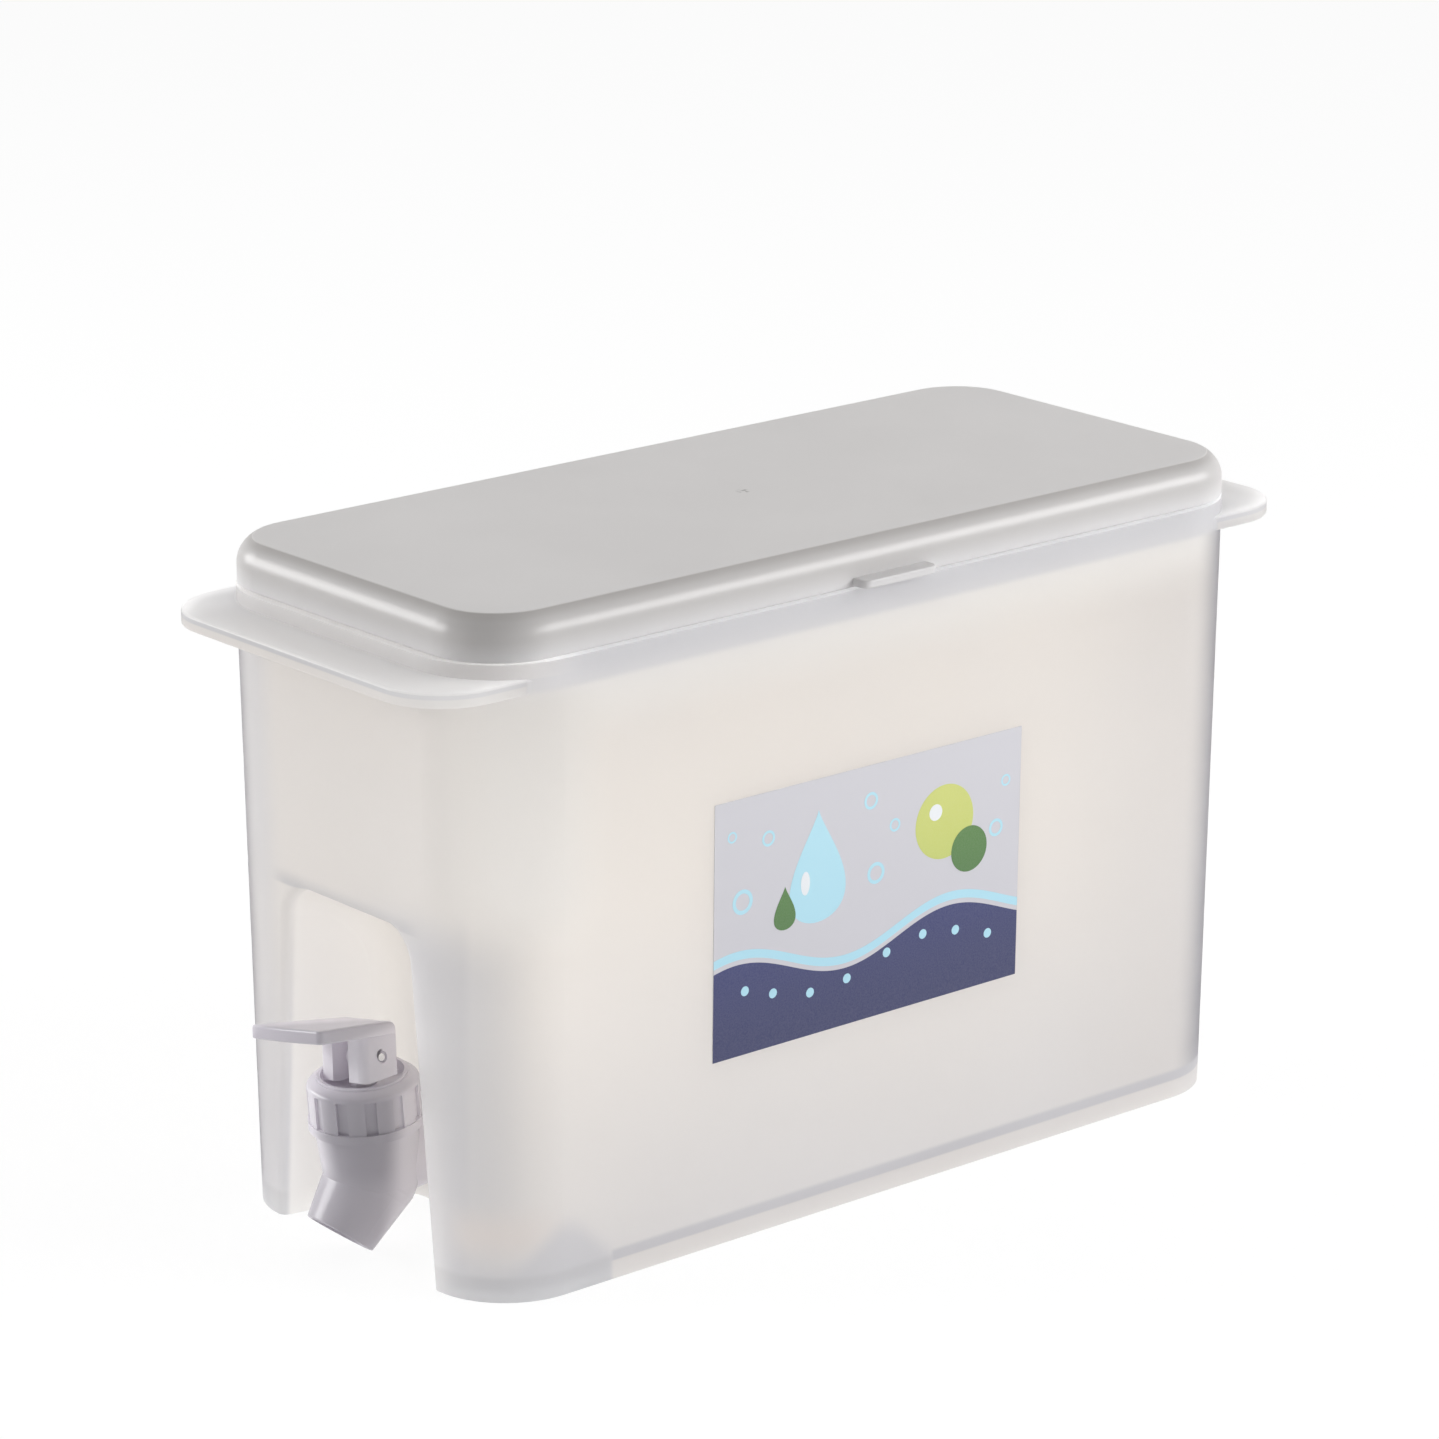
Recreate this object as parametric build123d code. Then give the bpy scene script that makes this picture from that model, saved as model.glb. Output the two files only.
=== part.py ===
from build123d import *
from math import cos, radians, sin, tan
import os

# A slim drinks tank for a refrigerator shelf: a drafted tank with an arched recess in its
# front end, a lift-off lid and a push-lever tap. Millimetres, +Z up, the tap faces -Y, and
# the origin lies at the middle of the foot.

# Tank: the outline is given at the rim and narrows down to the foot
rim_height = 165.0
rim_half_width = 58.43
rim_half_length = 130.98
rim_corner = 25.4
foot_corner = 22.4
tank_draft = 0.953
wall = 2.5
floor_thick = 2.0
foot_rim = 5.1

# Recess for the tap, measured on its outer skin
recess_depth = 35.7
arch_top = 92.0
arch_half_foot = 31.5
arch_draft = 4.3
arch_taper = 9.0
arch_corner = 9.0
roof_radius = 31.0
arch_edge = 2.6

# End tabs of the rim flange
flange_drop = 3.8
flange_plate = 1.7
flange_skirt = 2.1
flange_skirt_wall = 1.6
flange_reach = 14.5
flange_side_inset = 1.7
flange_corner = 18.0
flange_edge = 0.7
flange_foot_edge = 0.4

# Lid
lid_side_inset = 1.6
lid_end_inset = 1.9
lid_corner = 19.8
lid_height = 11.5
lid_shoulder = 7.6
lid_crease_rise = 0.75
lid_thick = 1.8
lid_foot_edge = 0.5
lid_seat_gap = 0.2
plug_depth = 7.4
plug_thick = 1.6
plug_gap = 0.3
pull_length = 25.0
pull_reach = 4.6
pull_thick = 2.2
pull_rise = 0.3
pull_corner = 2.4
pull_edge = 0.6

# Sticker on the +X side
label_length = 103.7
label_height = 68.2
label_foot = 49.7
label_start = 72.6
label_thick = 0.15

# Tap, in its own frame: the origin is where the barrel's axis meets the tap's axis, Z runs up
# the tap and Y runs back along the barrel to the tank's wall
tap_tilt = 4.5
tap_height = 23.0
tap_reach = 29.0
body_radius = 12.0
elbow_radius = 11.9
body_shoulder_radius = 13.3
elbow_drop = 3.5
shoulder_height = 11.1
neck_radius = 11.5
neck_height = 8.6
chamber_radius = 9.0
seat_drop = 4.5
outlet_radius = 5.5
outlet_knee_radius = 5.9
outlet_depth = 4.2
spout_angle = 42.5
spout_length = 16.7
mouth_radius = 9.3
mouth_wall = 1.2
mouth_depth = 4.0
mouth_edge = 0.4
barrel_radius = 10.2
barrel_bore = 4.8
tap_flange_radius = 13.0
tap_flange_thick = 3.0
tap_flange_edge = 0.8

# Fixing through the tank's wall
shank_radius = 8.0
shank_gap = 0.4
washer_radius = 12.4
outer_washer_thick = 2.0
inner_washer_thick = 2.0
lock_nut_thick = 6.0
lock_nut_flats = 23.0
lock_nut_corner = 1.5
shank_spare = 2.0

# Collar nut
collar_radius = 14.3
collar_lip_radius = 14.7
collar_lip_height = 2.3
collar_grip_height = 9.5
collar_wall_gap = 0.1
collar_chamfer_height = 1.5
collar_top_radius = 11.8
collar_edge = 0.3
collar_shoulder = 1.5
ring_radius = 11.5
ring_height = 0.6
well_radius = 10.6
well_depth = 3.0
grip_count = 12
grip_groove_angle = 12.0
grip_groove_depth = 0.8
neck_end_gap = 0.3

# Valve: a stem with a piston and a soft seal at its foot
stem_radius = 3.4
guide_gap = 0.1
seal_radius = 7.2
seal_thick = 2.4
seal_stud_radius = 1.6
seal_stud_length = 3.0
seal_gap = 0.05
lower_stem_radius = 3.0
piston_radius = 8.7
piston_thick = 4.0
piston_height = 6.5
ring_groove_depth = 1.2
ring_wire = 1.4
tang_thick = 3.0
tang_drop = 9.6
eye_hole_radius = 1.5

# Return spring round the stem
spring_wire = 0.9
spring_wire_sides = 8
spring_radius = 6.0
spring_turns = 4.5
spring_seat_gap = 0.1

# Lever: its own frame has X along the pin, Y back and Z square to the finger plate
lever_pitch = 12.0
lever_lean = 12.5
lever_travel = 25.0
lift_per_radian = 4.5
foot_height = 5.4
foot_gap = 0.15
toe_margin = 1.0
cheek_half_width = 9.5
cheek_thick = 6.0
cheek_back = 4.3
cheek_corner = 2.4
plate_underside = 5.4
plate_thick = 3.4
plate_reach = 22.4
plate_half_front = 15.6
plate_bulge = 1.2
plate_corner = 1.6
lever_edge = 0.7
lever_under_edge = 0.5
lever_heel = 2.4

# Pin through the lever and the stem's eye
pin_radius = 0.95
pin_gap = 0.05
pin_recess_radius = 1.5
pin_recess_depth = 1.0
pin_inset = 0.3

# One overrun for every cutting tool
overrun = 6.0


def at_height(z):
    """How far the tank's skin has drawn in between the rim and a height."""
    return (rim_height - z) * tan(radians(tank_draft))


def rounded_slab(half_x, half_y, corner, low, high):
    """A straight-sided slab with rounded corners between two heights."""
    outline = RectangleRounded(2 * half_x, 2 * half_y, corner)
    return extrude(Pos(0, 0, low) * outline, amount=high - low)


def drafted_block(inset, low, high):
    """The tank's drafted form, its skin moved in by inset, between two heights."""
    sections = []
    for z in (low, high):
        setback = at_height(z) + inset
        corner = foot_corner + (rim_corner - foot_corner) * z / rim_height - inset
        width = 2 * (rim_half_width - setback)
        length = 2 * (rim_half_length - setback)
        sections.append(Pos(0, 0, z) * RectangleRounded(width, length, corner))
    return loft(sections, ruled=True)


# Places that several pieces share
flange_top = rim_height - flange_drop
front_foot = -(rim_half_length - at_height(0))
back_foot = front_foot + recess_depth
lean = radians(tap_tilt)
tap_y = back_foot - (tap_reach + tap_height * sin(lean)) / cos(lean)
tap_place = Pos(0, tap_y, tap_height) * Rot(tap_tilt, 0, 0)

well_floor = shoulder_height + collar_lip_height + collar_grip_height + collar_chamfer_height
well_floor = well_floor + ring_height - well_depth
roll = radians(lever_lean)
pin_height = well_floor + foot_gap + cheek_half_width * sin(roll) + foot_height * cos(roll)
lever_place = tap_place * Pos(0, 0, pin_height) * Rot(0, -lever_lean, 0) * Rot(-lever_pitch, 0, 0)


def recess(grow):
    """The space of the recess, its skin moved out by grow: a leaning back wall that turns
    forward in a quarter round, between two drafted sides, with all its corners rounded."""
    top = arch_top + grow
    radius = roof_radius + grow
    centre_z = arch_top - roof_radius
    centre_y = back_foot - (roof_radius + centre_z * sin(lean)) / cos(lean)
    front = -(rim_half_length + overrun)
    foot = -overrun
    foot_y = back_foot + grow / cos(lean) - foot * tan(lean)
    meet = (centre_y + radius * cos(lean), centre_z + radius * sin(lean))
    middle_angle = radians(90 + tap_tilt) / 2
    middle = (centre_y + radius * cos(middle_angle), centre_z + radius * sin(middle_angle))
    crown = (centre_y, top)
    edges = [
        Line((front, foot), (foot_y, foot)),
        Line((foot_y, foot), meet),
        ThreePointArc(meet, middle, crown),
        Line(crown, (front, top)),
        Line((front, top), (front, foot)),
    ]
    profile = Plane.YZ * make_face(edges)
    space = extrude(profile, amount=arch_half_foot + grow + overrun, both=True)
    for side in (-1, 1):
        normal = Vector(side, tan(radians(arch_taper)), tan(radians(arch_draft))).normalized()
        point = Vector(side * arch_half_foot, front_foot, 0) + normal * grow
        cut = Plane(origin=point, z_dir=normal)
        space = split(space, bisect_by=cut, keep=Keep.BOTTOM)
    blends = []
    for edge in space.edges():
        middle_point = edge.center()
        on_side = abs(edge.position_at(0).X) > roof_radius / 2 and edge.length > arch_corner / 2
        same_side = edge.position_at(0).X * edge.position_at(1).X > 0
        at_front = abs(middle_point.Y - front) < arch_edge / 10
        at_foot = abs(middle_point.Z - foot) < arch_edge / 10
        if on_side and same_side and not at_front and not at_foot:
            blends.append(edge)
    return fillet(blends, radius=arch_corner + grow)


def flange():
    """The rim flange: a plate with a skirt, which shows as a tab at each end."""
    low = flange_top - flange_plate - flange_skirt
    half_x = rim_half_width - flange_side_inset
    half_y = rim_half_length + flange_reach
    plate = rounded_slab(half_x, half_y, flange_corner, low, flange_top)
    under = rounded_slab(
        half_x - flange_skirt_wall,
        half_y - flange_skirt_wall,
        flange_corner - flange_skirt_wall,
        low - overrun,
        flange_top - flange_plate,
    )
    plate = fillet(plate.faces().sort_by(Axis.Z)[-1].edges(), radius=flange_edge)
    plate = fillet(plate.faces().sort_by(Axis.Z)[0].edges(), radius=flange_foot_edge)
    return plate - under


def tank():
    """One moulding: drafted walls, recess, flange, raised floor and closed front legs."""
    skin = drafted_block(0, 0, rim_height) - recess(0)
    arch_edges = []
    for edge in skin.edges():
        middle = edge.center()
        on_front = middle.Y < front_foot + arch_edge / 2 and abs(middle.X) < arch_half_foot
        inside_foot = middle.Z > arch_edge and middle.Z < arch_top + arch_edge
        if on_front and inside_foot:
            arch_edges.append(edge)
    skin = fillet(arch_edges, radius=arch_edge)
    step = back_foot + wall
    size = 2 * (rim_half_length + flange_reach)
    behind = Pos(0, step, 0) * Box(size, size, size, align=(Align.CENTER, Align.MIN, Align.CENTER))
    raised = Pos(0, step - wall, -size + foot_rim + floor_thick) * Box(
        size, size, size, align=(Align.CENTER, Align.MIN, Align.MIN)
    )
    inside = drafted_block(wall, floor_thick, rim_height + overrun) - raised - recess(wall)
    under = drafted_block(wall, -overrun, foot_rim) & behind
    hole = Rot(-90, 0, 0) * Cylinder(
        shank_radius + shank_gap, tap_reach + overrun, align=(Align.CENTER, Align.CENTER, Align.MIN)
    )
    return skin + flange() - inside - under - tap_place * hole


def lid_dome(inset, low):
    """The lid's outer form moved in by inset: an upright side, a round shoulder that is cut
    off at the flat top, which leaves a crease round it."""
    half_x = rim_half_width - lid_side_inset - inset
    half_y = rim_half_length - lid_end_inset - inset
    seat = rim_height + lid_seat_gap
    flat = seat + lid_height - inset
    crown = flat + lid_crease_rise
    dome = rounded_slab(half_x, half_y, lid_corner - inset, low, crown)
    dome = fillet(dome.faces().sort_by(Axis.Z)[-1].edges(), radius=lid_shoulder - inset)
    size = 2 * (half_x + half_y)
    return split(dome, bisect_by=Plane.XY.offset(flat), keep=Keep.BOTTOM)


def lid():
    """The lid: a creased shell with a plug skirt that drops inside the rim and a pull tab."""
    seat = rim_height + lid_seat_gap
    shell = lid_dome(0, seat)
    shell = fillet(shell.faces().sort_by(Axis.Z)[0].edges(), radius=lid_foot_edge)
    plug_x = rim_half_width - wall - plug_gap
    plug_y = rim_half_length - wall - plug_gap
    plug_corner = rim_corner - wall - plug_gap
    plug = rounded_slab(plug_x, plug_y, plug_corner, seat - plug_depth, seat + lid_thick)
    hollow = rounded_slab(
        plug_x - plug_thick,
        plug_y - plug_thick,
        plug_corner - plug_thick,
        seat - plug_depth - overrun,
        seat + lid_thick,
    )
    side = rim_half_width - lid_side_inset
    pull = RectangleRounded(2 * pull_reach, pull_length, pull_corner)
    tab = extrude(Pos(side, 0, seat + pull_rise) * pull, amount=pull_thick)
    for end in (0, -1):
        tab = fillet(tab.faces().sort_by(Axis.Z)[end].edges(), radius=pull_edge)
    inner = lid_dome(lid_thick, seat + lid_thick)
    return shell + (tab - inner) + (plug & shell_reach(seat)) - hollow - inner


def shell_reach(seat):
    """Everything that the plug skirt may fill: below the seat, and above it inside the lid."""
    size = 2 * (rim_half_length + flange_reach)
    below = Pos(0, 0, seat) * Box(size, size, size, align=(Align.CENTER, Align.CENTER, Align.MAX))
    return below + lid_dome(0, seat)


def label():
    """A thin sticker on the drafted wall of the +X side."""
    middle_y = label_start - rim_half_length + label_length / 2
    middle_z = label_foot + label_height / 2
    wall_x = rim_half_width - at_height(middle_z)
    plate = Box(label_thick, label_length, label_height, align=(Align.MIN, Align.CENTER, Align.CENTER))
    return Pos(wall_x, middle_y, middle_z) * Rot(0, tank_draft, 0) * plate


def ring(outer, inner, thick):
    """A flat ring about Y that starts at the origin."""
    tube = Cylinder(outer, thick, align=(Align.CENTER, Align.CENTER, Align.MIN))
    bore = Cylinder(inner, thick, align=(Align.CENTER, Align.CENTER, Align.MIN))
    return Rot(-90, 0, 0) * (tube - bore)


def rod(radius, low, high):
    """A round bar on the tap's axis between two heights."""
    bar = Cylinder(radius, high - low, align=(Align.CENTER, Align.CENTER, Align.MIN))
    return Pos(0, 0, low) * bar


def barrel_rod(radius, near, far):
    """A round bar on the barrel's axis between two distances from the tap's axis."""
    return Rot(-90, 0, 0) * rod(radius, near, far)


def tap_body():
    """The tap's casting: upright body, elbow, slanting spout, barrel, flange and shank."""
    elbow = Pos(0, 0, -elbow_drop)
    slant = elbow * Rot(180 - spout_angle, 0, 0)
    upright = Cone(
        body_radius,
        body_shoulder_radius,
        shoulder_height + elbow_drop,
        align=(Align.CENTER, Align.CENTER, Align.MIN),
    )
    spout = Cone(
        body_radius, mouth_radius, spout_length, align=(Align.CENTER, Align.CENTER, Align.MIN)
    )
    spout = fillet(spout.faces().sort_by(Axis.Z)[-1].edges(), radius=mouth_edge)
    seat = tap_reach - outer_washer_thick
    disc = barrel_rod(tap_flange_radius, seat - tap_flange_thick, seat)
    disc = fillet(disc.edges().filter_by(GeomType.CIRCLE), radius=tap_flange_edge)
    shank_end = tap_reach + wall + inner_washer_thick + lock_nut_thick + shank_spare
    solid = elbow * upright + slant * spout + elbow * Sphere(elbow_radius)
    solid = solid + rod(neck_radius, shoulder_height, shoulder_height + neck_height)
    solid = solid + barrel_rod(barrel_radius, 0, seat)
    solid = solid + disc
    solid = solid + barrel_rod(shank_radius, seat, shank_end)
    solid = solid - rod(chamber_radius, -seat_drop, shoulder_height + neck_height)
    solid = solid - rod(outlet_radius, -seat_drop - outlet_depth, -seat_drop)
    solid = solid - barrel_rod(barrel_bore, 0, shank_end)
    mouth_bore = mouth_radius - mouth_wall
    mouth = slant * Pos(0, 0, spout_length - mouth_depth) * Cylinder(
        mouth_bore, mouth_depth, align=(Align.CENTER, Align.CENTER, Align.MIN)
    )
    start = Pos(0, 0, -seat_drop - outlet_depth) * Rot(180 - spout_angle, 0, 0)
    end = slant * Pos(0, 0, spout_length - mouth_depth)
    channel = loft([start * Circle(outlet_radius), end * Circle(mouth_bore)], ruled=True)
    return solid - mouth - channel - Pos(0, 0, -seat_drop - outlet_depth) * Sphere(outlet_knee_radius)


def collar_nut():
    """The ribbed collar that closes the body: a cap with a well in its top for the lever's
    feet and a guide hole for the stem."""
    lip = shoulder_height + collar_lip_height
    grip = lip + collar_grip_height
    cone_top = grip + collar_chamfer_height
    top = cone_top + ring_height
    bore = neck_radius + collar_wall_gap
    cavity = shoulder_height + neck_height + neck_end_gap
    hole = stem_radius + guide_gap
    points = [
        (bore, shoulder_height),
        (collar_lip_radius, shoulder_height),
        (collar_lip_radius, lip),
        (collar_radius, lip),
        (collar_radius, grip),
        (collar_top_radius, cone_top),
        (ring_radius, cone_top),
        (ring_radius, top),
        (well_radius, top),
        (well_radius, well_floor),
        (hole, well_floor),
        (hole, cavity),
        (bore, cavity),
    ]
    cap = revolve(Plane.XZ * make_face(Polyline(*points, close=True)), axis=Axis.Z)
    rims = cap.edges().filter_by(GeomType.CIRCLE)
    lip_rims = rims.filter_by(lambda rim: abs(rim.radius - collar_lip_radius) < collar_edge / 10)
    shoulder_rim = rims.filter_by(lambda rim: abs(rim.radius - collar_radius) < collar_edge / 10)
    cap = fillet(lip_rims, radius=collar_edge)
    cap = fillet(shoulder_rim.sort_by(Axis.Z)[-1], radius=collar_shoulder)
    half_groove = collar_radius * sin(radians(grip_groove_angle / 2))
    groove = Pos(collar_radius, 0, lip) * Box(
        2 * grip_groove_depth,
        2 * half_groove,
        collar_grip_height - collar_chamfer_height / 2,
        align=(Align.CENTER, Align.CENTER, Align.MIN),
    )
    for turn in range(grip_count):
        cap = cap - Rot(0, 0, turn * 360 / grip_count) * groove
    return cap


def valve_stem():
    """The stem: foot, piston with a ring groove, guide rod and a tang with two flats and an eye."""
    foot = -seat_drop + seal_thick
    piston_top = piston_height + piston_thick
    tang_foot = pin_height - tang_drop
    stem = rod(lower_stem_radius, foot, piston_height)
    stem = stem + rod(piston_radius, piston_height, piston_top)
    stem = stem + rod(stem_radius, piston_top, tang_foot)
    groove_middle = piston_height + piston_thick / 2
    groove = rod(piston_radius, groove_middle - ring_wire / 2, groove_middle + ring_wire / 2)
    core = rod(piston_radius - ring_groove_depth, groove_middle - ring_wire, groove_middle + ring_wire)
    stem = stem - (groove - core)
    flats = Pos(0, 0, tang_foot) * Box(
        tang_thick, 2 * stem_radius, tang_drop, align=(Align.CENTER, Align.CENTER, Align.MIN)
    )
    tang = rod(stem_radius, tang_foot, pin_height) & flats
    cross = Pos(-tang_thick / 2, 0, pin_height) * Rot(0, 90, 0)
    eye = cross * Cylinder(stem_radius, tang_thick, align=(Align.CENTER, Align.CENTER, Align.MIN))
    hole = cross * Cylinder(eye_hole_radius, tang_thick, align=(Align.CENTER, Align.CENTER, Align.MIN))
    socket = rod(seal_stud_radius + seal_gap, foot, foot + seal_stud_length + seal_gap)
    return stem + tang + eye - hole - socket


def valve_seal():
    """The soft seal on the seat: a disc with a raised lip and a stud into the stem."""
    foot = -seat_drop
    disc = rod(seal_radius, foot, foot + seal_thick)
    relief = rod(outlet_radius - seal_stud_radius, foot, foot + seal_thick / 3)
    stud = rod(seal_stud_radius, foot + seal_thick, foot + seal_thick + seal_stud_length)
    return disc - relief + stud


def stem_ring():
    """The ring that seals the piston in the chamber."""
    middle = piston_height + piston_thick / 2
    radius = piston_radius - ring_groove_depth + ring_wire / 2
    wire = ring_wire / 2 - seal_gap
    return Pos(0, 0, middle) * Torus(radius, wire)


def return_spring():
    """The coil that presses the piston down, between the piston and the collar's underside."""
    low = piston_height + piston_thick + spring_seat_gap + spring_wire / 2
    high = shoulder_height + neck_height + neck_end_gap - spring_seat_gap - spring_wire / 2
    pitch = (high - low) / spring_turns
    path = Pos(0, 0, low) * Helix(pitch, high - low, spring_radius)
    start = Plane(origin=path.position_at(0), z_dir=path.tangent_at(0))
    return sweep(start * RegularPolygon(spring_wire / 2, spring_wire_sides), path=path)


def toe_point(turn):
    """A point of the foot's rolling face, in the lever's frame. The face is the involute of a
    circle about the pin, so the pin rises in proportion to the lever's turn."""
    height = foot_height + lift_per_radian * turn
    y = -lift_per_radian * cos(turn) - height * sin(turn)
    z = lift_per_radian * sin(turn) - height * cos(turn)
    pitch = radians(lever_pitch)
    return (y * cos(pitch) - z * sin(pitch), y * sin(pitch) + z * cos(pitch))


def heel_waste():
    """What rounding takes off the rear upper edge of the lever."""
    middle = Pos(0, cheek_back - lever_heel, plate_underside + plate_thick - lever_heel)
    size = 2 * cheek_half_width + overrun
    corner = Box(size, overrun, overrun, align=(Align.CENTER, Align.MIN, Align.MIN))
    return middle * (corner - Rot(0, 90, 0) * Cylinder(lever_heel, size))


def lever():
    """The push lever: a fan-shaped finger plate on two cheeks whose feet stand in the well."""
    hidden_top = plate_underside + plate_thick / 2
    full_turn = radians(lever_travel + toe_margin)
    flat_end = toe_point(0)
    toe_middle = toe_point(full_turn / 2)
    toe = toe_point(full_turn)
    slope = tan(radians(lever_pitch))
    heel = (cheek_back, flat_end[1] + (cheek_back - flat_end[0]) * slope)
    side = [
        Line(heel, flat_end),
        ThreePointArc(flat_end, toe_middle, toe),
        Line(toe, (toe[0], hidden_top)),
        Line((toe[0], hidden_top), (cheek_back, hidden_top)),
        Line((cheek_back, hidden_top), heel),
    ]
    block = extrude(Plane.YZ * make_face(side), amount=cheek_half_width, both=True)
    slot_half = cheek_half_width - cheek_thick
    depth = plate_reach + cheek_back
    slot = Pos(0, 0, plate_underside) * Box(
        2 * slot_half, 2 * depth, 2 * depth, align=(Align.CENTER, Align.CENTER, Align.MAX)
    )
    front_edges = block.edges().filter_by(Axis.Z).sort_by(Axis.Y)[:2]
    block = fillet(front_edges, radius=cheek_corner) - slot
    fan = [
        Line((cheek_half_width, cheek_back), (plate_half_front, -plate_reach)),
        ThreePointArc(
            (plate_half_front, -plate_reach),
            (0, -plate_reach - plate_bulge),
            (-plate_half_front, -plate_reach),
        ),
        Line((-plate_half_front, -plate_reach), (-cheek_half_width, cheek_back)),
        Line((-cheek_half_width, cheek_back), (cheek_half_width, cheek_back)),
    ]
    outline = make_face(fan)
    corners = outline.vertices().sort_by(Axis.Y)[:2]
    plate = extrude(Pos(0, 0, plate_underside) * fillet(corners, radius=plate_corner), amount=plate_thick)
    rims = plate.faces().sort_by(Axis.Z)[-1].edges().sort_by(Axis.Y)[:-1]
    plate = fillet(rims, radius=lever_edge)
    rims = plate.faces().sort_by(Axis.Z)[0].edges().sort_by(Axis.Y)[:-1]
    handle = fillet(rims, radius=lever_under_edge) + block - heel_waste()
    axis = Rot(0, 90, 0)
    hole = axis * Cylinder(pin_radius + pin_gap, 2 * cheek_half_width)
    handle = handle - hole
    for end in (-1, 1):
        recess_middle = end * (cheek_half_width - pin_recess_depth / 2)
        handle = handle - Pos(recess_middle, 0, 0) * axis * Cylinder(pin_recess_radius, pin_recess_depth)
    return handle


def pivot_pin():
    """The steel pin through both cheeks and the stem's eye."""
    length = 2 * (cheek_half_width - pin_inset)
    return Rot(0, 90, 0) * Cylinder(pin_radius, length)


def lock_nut():
    """The nut on the shank inside the tank."""
    start = tap_reach + wall + inner_washer_thick
    outline = RegularPolygon(lock_nut_flats / 2, 6, major_radius=False)
    blank = extrude(fillet(outline.vertices(), radius=lock_nut_corner), amount=lock_nut_thick)
    bore = Cylinder(shank_radius + pin_gap, lock_nut_thick, align=(Align.CENTER, Align.CENTER, Align.MIN))
    return Rot(-90, 0, 0) * Pos(0, 0, start) * (blank - bore)


outer_washer_place = Pos(0, tap_reach - outer_washer_thick, 0)
inner_washer_place = Pos(0, tap_reach + wall, 0)
washer_bore = shank_radius + pin_gap

nodes = {
    "tank": tank(),
    "lid": lid(),
    "label": label(),
    "tap_body": tap_place * tap_body(),
    "collar_nut": tap_place * collar_nut(),
    "valve_stem": tap_place * valve_stem(),
    "valve_seal": tap_place * valve_seal(),
    "stem_ring": tap_place * stem_ring(),
    "return_spring": tap_place * return_spring(),
    "lever": lever_place * lever(),
    "pivot_pin": lever_place * pivot_pin(),
    "outer_washer": tap_place * outer_washer_place * ring(washer_radius, washer_bore, outer_washer_thick),
    "inner_washer": tap_place * inner_washer_place * ring(washer_radius, washer_bore, inner_washer_thick),
    "lock_nut": tap_place * lock_nut(),
}

os.makedirs("parts", exist_ok=True)
for name, shape in nodes.items():
    export_step(shape, f"parts/{name}.step")
    print(name, len(shape.solids()), round(shape.volume), "mm3")
print("pin at", (lever_place * Pos(0, 0, 0)).position)
print("stem lift", round(cos(roll) * lift_per_radian * radians(lever_travel), 4), "mm")
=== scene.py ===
"""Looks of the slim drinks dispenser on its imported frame: plastics, sticker, tap, floor, light and camera.

Lengths are metres in the frame of the solids: Z up, the tap faces -Y, the sticker is on +X.
Colours are written as 0 to 255 screen values and turned into scene values by paint().
An edge between two tones is a pair: the place where they meet, and half the width of the blend there.
"""

import math

import bmesh
import bpy
from mathutils import Color, Matrix, Vector


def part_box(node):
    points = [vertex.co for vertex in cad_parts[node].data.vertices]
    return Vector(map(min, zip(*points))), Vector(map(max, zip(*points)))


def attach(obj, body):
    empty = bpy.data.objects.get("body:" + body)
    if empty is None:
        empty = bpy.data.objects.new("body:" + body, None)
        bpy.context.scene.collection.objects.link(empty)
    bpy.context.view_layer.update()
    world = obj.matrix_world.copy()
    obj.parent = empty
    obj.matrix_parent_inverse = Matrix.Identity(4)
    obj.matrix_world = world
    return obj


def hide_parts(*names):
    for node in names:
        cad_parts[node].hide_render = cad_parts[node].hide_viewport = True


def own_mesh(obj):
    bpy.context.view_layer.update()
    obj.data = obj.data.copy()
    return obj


MM = 0.001

# Camera, as the photograph was taken: its frame is PHOTO_SIDE pixels square
PHOTO_SIDE = 1439
SENSOR = 36.0
FOCAL_PIXELS = 5594.15
CAMERA_AZIMUTH = math.radians(49.739)
CAMERA_ELEVATION = math.radians(17.0)
CAMERA_ROLL = math.radians(-0.065)
CAMERA_DISTANCE = 1.46643
CAMERA_AIM = Vector((-0.009415, 0.0, 0.112956))
CAMERA_REACH = 10.0

# Light: a soft world that is dim on the photographer's side, and two low soft boxes, one on each side of
# the photographer. A blend in the world is given by its two ends
WORLD_STRENGTH = 0.48
DIM_SIDE = Vector((0.763, -0.646, 0.0))
DIM_SIDE_BLEND = (0.1, 0.8)
DIM_SIDE_LEFT = 0.30
CEILING_BLEND = (0.4, 0.8)
CEILING_LEFT = 0.25
LAMP_AIM = Vector((0.0, 0.0, 0.08))
LAMP_DISTANCE = 1.5
LAMP_WIDTH = 1.1
LAMP_HEIGHT = 0.45
KEY_TOWARDS = (0.69, 0.62, 0.37)
KEY_POWER = 16.0
FILL_TOWARDS = (-0.73, -0.62, 0.30)
FILL_POWER = 14.0
FLOOR_SIZE = 6.0
FLOOR_COLOUR = (0.95, 0.95, 0.95, 1.0)
FLOOR_GLOW_SHARE = 0.85
FLOOR_GLOW = 1.05
WHITE = (1.0, 1.0, 1.0, 1.0)

# Plastics: the share of light that goes through, and how far paler clouds show in them
WALL_THROUGH = 0.72
WALL_THROUGH_MORE = 0.2
LID_THROUGH = 0.25
TAP_THROUGH = 0.3
CLOUD_SHARE = 0.35
WALL_CLOUDS = (0.5, 0.35)
LID_CLOUDS = (0.5, 0.3)
TAP_FLOW = (0.5, 0.3)
PLASTIC_IOR = 1.49

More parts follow.
